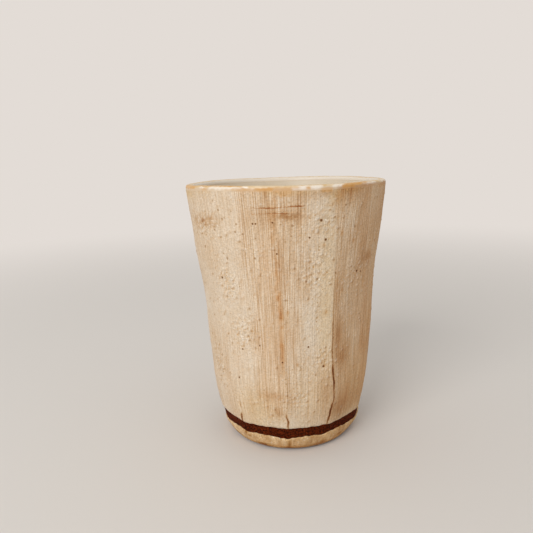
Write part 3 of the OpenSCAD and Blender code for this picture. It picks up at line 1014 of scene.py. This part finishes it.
    # grain lightens and darkens it all
    uneven = add(
        "MapRange", {"Value": grain, "From Min": 0.36, "From Max": 0.64, "To Min": -0.5, "To Max": 0.5}
    )[0]
    sandy = add("Math", {0: mark["grit"], 1: 0.12, 2: 0.14}, timesPlus)[0]
    tone = add("Math", {0: uneven, 1: sandy, 2: 1}, timesPlus)[0]
    # painted shade in the grooves of the fine upright lines
    tone = add("Math", {0: lines, 1: -look["lineShade"], 2: tone}, timesPlus)[0]
    colour = add("Mix", {under: colour, over: tone, factor: 1}, filterColour)[mixed]
    sheen = add("MapRange", {"Value": mark["honey"], "To Min": 0.75, "To Max": 0.45})[0]
    lumpy = add("Math", {0: mark["grit"], 1: 1.0, 2: 0.12}, timesPlus)[0]
    lumps = add("Math", {0: lumps, 1: lumpy}, times)[0]
    height = add("Math", {0: grain, 1: lumps}, {"operation": "SUBTRACT"})[0]
    height = add("Math", {0: height, 1: upright["streak"]}, {"operation": "SUBTRACT"})[0]
    bump = add("Bump", {"Height": height, "Strength": 0.9, "Distance": look["relief"] * mm})[0]
    finish = {"Base Color": colour, "Roughness": sheen, "Specular IOR Level": 0.25, "Normal": bump}
    setInputs(shader, finish)
    return material


wallSoaks = ("stain", "rust", "honey", "pit")
wallHoles = ((0.8, wallSlip["pinholes"]), (0.26, wallSlip["pinpricks"]))
wallMaterial = slipMaterial(
    "brushedSlip", slipLook, wallSoaks, ("grog", "whites", "ambers"), ("rustLine", "crack"), wallHoles
)
# the foot's honey tint darkens it towards the bottom and paints reflected warm light on its side
footLook = dict(
    slipLook, cream="#e8cfa9", warmCream="#b68b58", stain="#b08a56", honey="#c69b63", cloudSize=5.0
)
footMaterial = slipMaterial("footSlip", footLook, ("stain", "honey"), (), (), ())

# Bare iron-rich stoneware: dark chocolate brown, dry and gritty
clayLook = {"dark": "#350f02", "brown": "#4e1c06", "mottleSize": 3.0, "gritSize": 0.5, "relief": 0.15}
clayMaterial, add, shader = startMaterial("bareStoneware")
place = add("TexCoord")["Object"]
mottle = add("TexNoise", {"Vector": place, "Scale": 1 / (clayLook["mottleSize"] * mm), "Detail": 4})["Fac"]
grit = add(
    "TexNoise", {"Vector": place, "Scale": 1 / (clayLook["gritSize"] * mm), "Detail": 2, "Roughness": 0.7}
)["Fac"]
colour = add(
    "Mix", {factor: mottle, under: linear(clayLook["dark"]), over: linear(clayLook["brown"])}, mixColour
)[mixed]
tone = add("MapRange", {"Value": grit, "From Min": 0.35, "From Max": 0.65, "To Min": 0.0, "To Max": 2.5})[0]
colour = add("Mix", {under: colour, over: tone, factor: 1}, filterColour)[mixed]
bump = add("Bump", {"Height": grit, "Strength": 0.8, "Distance": clayLook["relief"] * mm})[0]
finish = {"Base Color": colour, "Roughness": 0.85, "Specular IOR Level": 0.05, "Normal": bump}
setInputs(shader, finish)

# Satin white glaze: milky, softly shining, a little warmer where it is thin
glazeLook = {"milk": "#dccfbb", "warm": "#d0bfa4", "cloudSize": 12.0, "waveSize": 1.5, "relief": 0.1}
glazeMaterial, add, shader = startMaterial("satinGlaze")
place = add("TexCoord")["Object"]
cloud = add("TexNoise", {"Vector": place, "Scale": 1 / (glazeLook["cloudSize"] * mm), "Detail": 4})["Fac"]
colour = add(
    "Mix", {factor: cloud, under: linear(glazeLook["milk"]), over: linear(glazeLook["warm"])}, mixColour
)[mixed]
fineWave = add("TexNoise", {"Vector": place, "Scale": 1 / (glazeLook["waveSize"] * mm), "Detail": 2})["Fac"]
bump = add("Bump", {"Height": fineWave, "Strength": 0.25, "Distance": glazeLook["relief"] * mm})[0]
setInputs(shader, {"Base Color": colour, "Roughness": 0.4, "Normal": bump})

# Glaze on the lip: creamy, honey where it runs thin over the edge, milky white where it gathers, with
# painted highlights along its rounded edge and, in one place, painted shade on its top
lipLook = {
    "honey": "#d2b07a",
    "cream": "#d9bf96",
    "slip": "#d3bfa5",
    # milky glaze, partly painted highlight
    "whites": "#f0e9df",
    "ambers": "#c98f3e",
    "milk": "#dfd2c0",
    "patchSize": 2.5,  # millimetres
    "waveSize": 0.8,
    "relief": 0.15,
}
lipMaterial, add, shader = startMaterial("honeyLipGlaze")
place = add("Attribute", None, {"attribute_name": "wallPlace"})["Vector"]
patch = add("TexNoise", {"Vector": place, "Scale": 1 / lipLook["patchSize"], "Detail": 3})["Fac"]
patchShare = add("MapRange", {"Value": patch, "From Min": 0.38, "From Max": 0.64})[0]
colour = add(
    "Mix", {factor: patchShare, under: linear(lipLook["honey"]), over: linear(lipLook["cream"])}, mixColour
)[mixed]
mark = {
    m: add("Attribute", None, {"attribute_name": m})["Fac"]
    for m in ("slip", "scrape", "stain", "whites", "ambers", "milk")
}
colour = cover(add, colour, lipLook["slip"], mark["slip"])
for markName, tint in (("scrape", "thin"), ("stain", "stain")):
    colour = soak(add, colour, slipLook[tint], mark[markName])
for markName in ("whites", "ambers", "milk"):
    colour = cover(add, colour, lipLook[markName], mark[markName])
dry = add("MapRange", {"Value": mark["slip"], "To Min": 0.38, "To Max": 0.72})[0]
wave = add("TexNoise", {"Vector": place, "Scale": 1 / lipLook["waveSize"], "Detail": 2})["Fac"]
bump = add("Bump", {"Height": wave, "Strength": 0.4, "Distance": lipLook["relief"] * mm})[0]
setInputs(shader, {"Base Color": colour, "Roughness": dry, "Normal": bump})

for piece, node, slotName, material in (
    (outerSlip, "outer_slip", "wall_slip", wallMaterial),
    (footSlip, "foot_slip", "foot_slip", footMaterial),
    (clayBody, "clay_body", "clay", clayMaterial),
    (innerGlaze, "inner_glaze", "inside_glaze", glazeMaterial),
    (lipGlaze, "lip_glaze", "lip_glaze", lipMaterial),
):
    piece.data.materials.clear()
    piece.data.materials.append(material)
    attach(piece, "root")
    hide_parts(node)
print("materials set")


# The share of rays that are of one of these kinds
def raysOf(add, kinds):
    rays = add("LightPath")
    share = rays[kinds[0]]
    for kind in kinds[1:]:
        share = add("Math", {0: share, 1: rays[kind]}, highest)[0]
    return share


# Floor: pale, and fading into the backdrop's colour away from the cup
backdropColour = linear("#e3dcd6")
floorLook = {"colour": "#d8d2cb", "fadeFrom": 0.16, "fadeTo": 0.6}  # metres from the cup
clearSelection()
bpy.ops.mesh.primitive_plane_add(size=8)
floor = bpy.context.object
floor.name = "floor"
floorMaterial, add, shader = startMaterial("paleFloor")
setInputs(shader, {"Base Color": linear(floorLook["colour"]), "Roughness": 0.9})
place = add("TexCoord")["Object"]
away = add("VectorMath", {0: place}, {"operation": "LENGTH"})["Value"]
fade = add(
    "MapRange",
    {"Value": away, "From Min": floorLook["fadeFrom"], "From Max": floorLook["fadeTo"]},
    {"interpolation_type": "SMOOTHSTEP"},
)[0]
seen = raysOf(add, ("Is Camera Ray", "Is Glossy Ray"))
fade = add("Math", {0: fade, 1: seen}, times)[0]
glow = add("Emission", {"Color": backdropColour, "Strength": 1})[0]
surface = add("MixShader", {0: fade, 1: shader.outputs[0], 2: glow})[0]
setInputs(floorMaterial.node_tree.nodes["Material Output"], {"Surface": surface})
floor.data.materials.append(floorMaterial)

# Camera, in millimetres and degrees
view = {"distance": 186.27, "rise": 98.73, "pitch": 11.829, "roll": -1.884, "pan": 2.306}
lens = {"focal": 530.0, "frame": 533.0}  # pixels of the photograph's frame
pan, pitch, roll = (math.radians(view[k]) for k in ("pan", "pitch", "roll"))
ahead = Vector((-math.sin(pan) * math.cos(pitch), math.cos(pan) * math.cos(pitch), -math.sin(pitch)))
level = Vector((math.cos(pan), math.sin(pan), 0))
above = level.cross(ahead)
right = level * math.cos(roll) + above * math.sin(roll)
up = above * math.cos(roll) - level * math.sin(roll)
cameraData = bpy.data.cameras.new("camera")
cameraData.sensor_width = 36
cameraData.lens = cameraData.sensor_width * lens["focal"] / lens["frame"]
cameraData.clip_start = 0.01
camera = bpy.data.objects.new("camera", cameraData)
scene.collection.objects.link(camera)
turn = Matrix((right, up, -ahead)).transposed().to_4x4()
camera.matrix_world = Matrix.Translation((0, -view["distance"] * mm, view["rise"] * mm)) @ turn
scene.camera = camera

# Soft studio light: a pale room and one broad lamp from the left of the front
light = {
    "room": 0.68,
    "lampPower": 6.6,
    "lampSize": 0.6,
    "lampPlace": (-0.5, -0.83, 0.62),
    "lampAim": (0, 0, 0.05),
}
world = bpy.data.worlds.new("studio")
scene.world = world
world.use_nodes = True
add = partial(addNode, world.node_tree)
roomLight = world.node_tree.nodes["Background"]
setInputs(roomLight, {"Color": linear("#ffffff"), "Strength": light["room"]})
backdrop = add("Background", {"Color": backdropColour, "Strength": 1})[0]
seen = raysOf(add, ("Is Camera Ray", "Is Transmission Ray", "Is Glossy Ray"))
background = add("MixShader", {0: seen, 1: roomLight.outputs[0], 2: backdrop})[0]
setInputs(world.node_tree.nodes["World Output"], {"Surface": background})
lampData = bpy.data.lights.new("keyLamp", "AREA")
lampData.energy = light["lampPower"]
lampData.size = light["lampSize"]
lamp = bpy.data.objects.new("keyLamp", lampData)
scene.collection.objects.link(lamp)
lamp.location = light["lampPlace"]
aim = Vector(light["lampAim"]) - Vector(light["lampPlace"])
lamp.rotation_euler = aim.to_track_quat("-Z", "Y").to_euler()
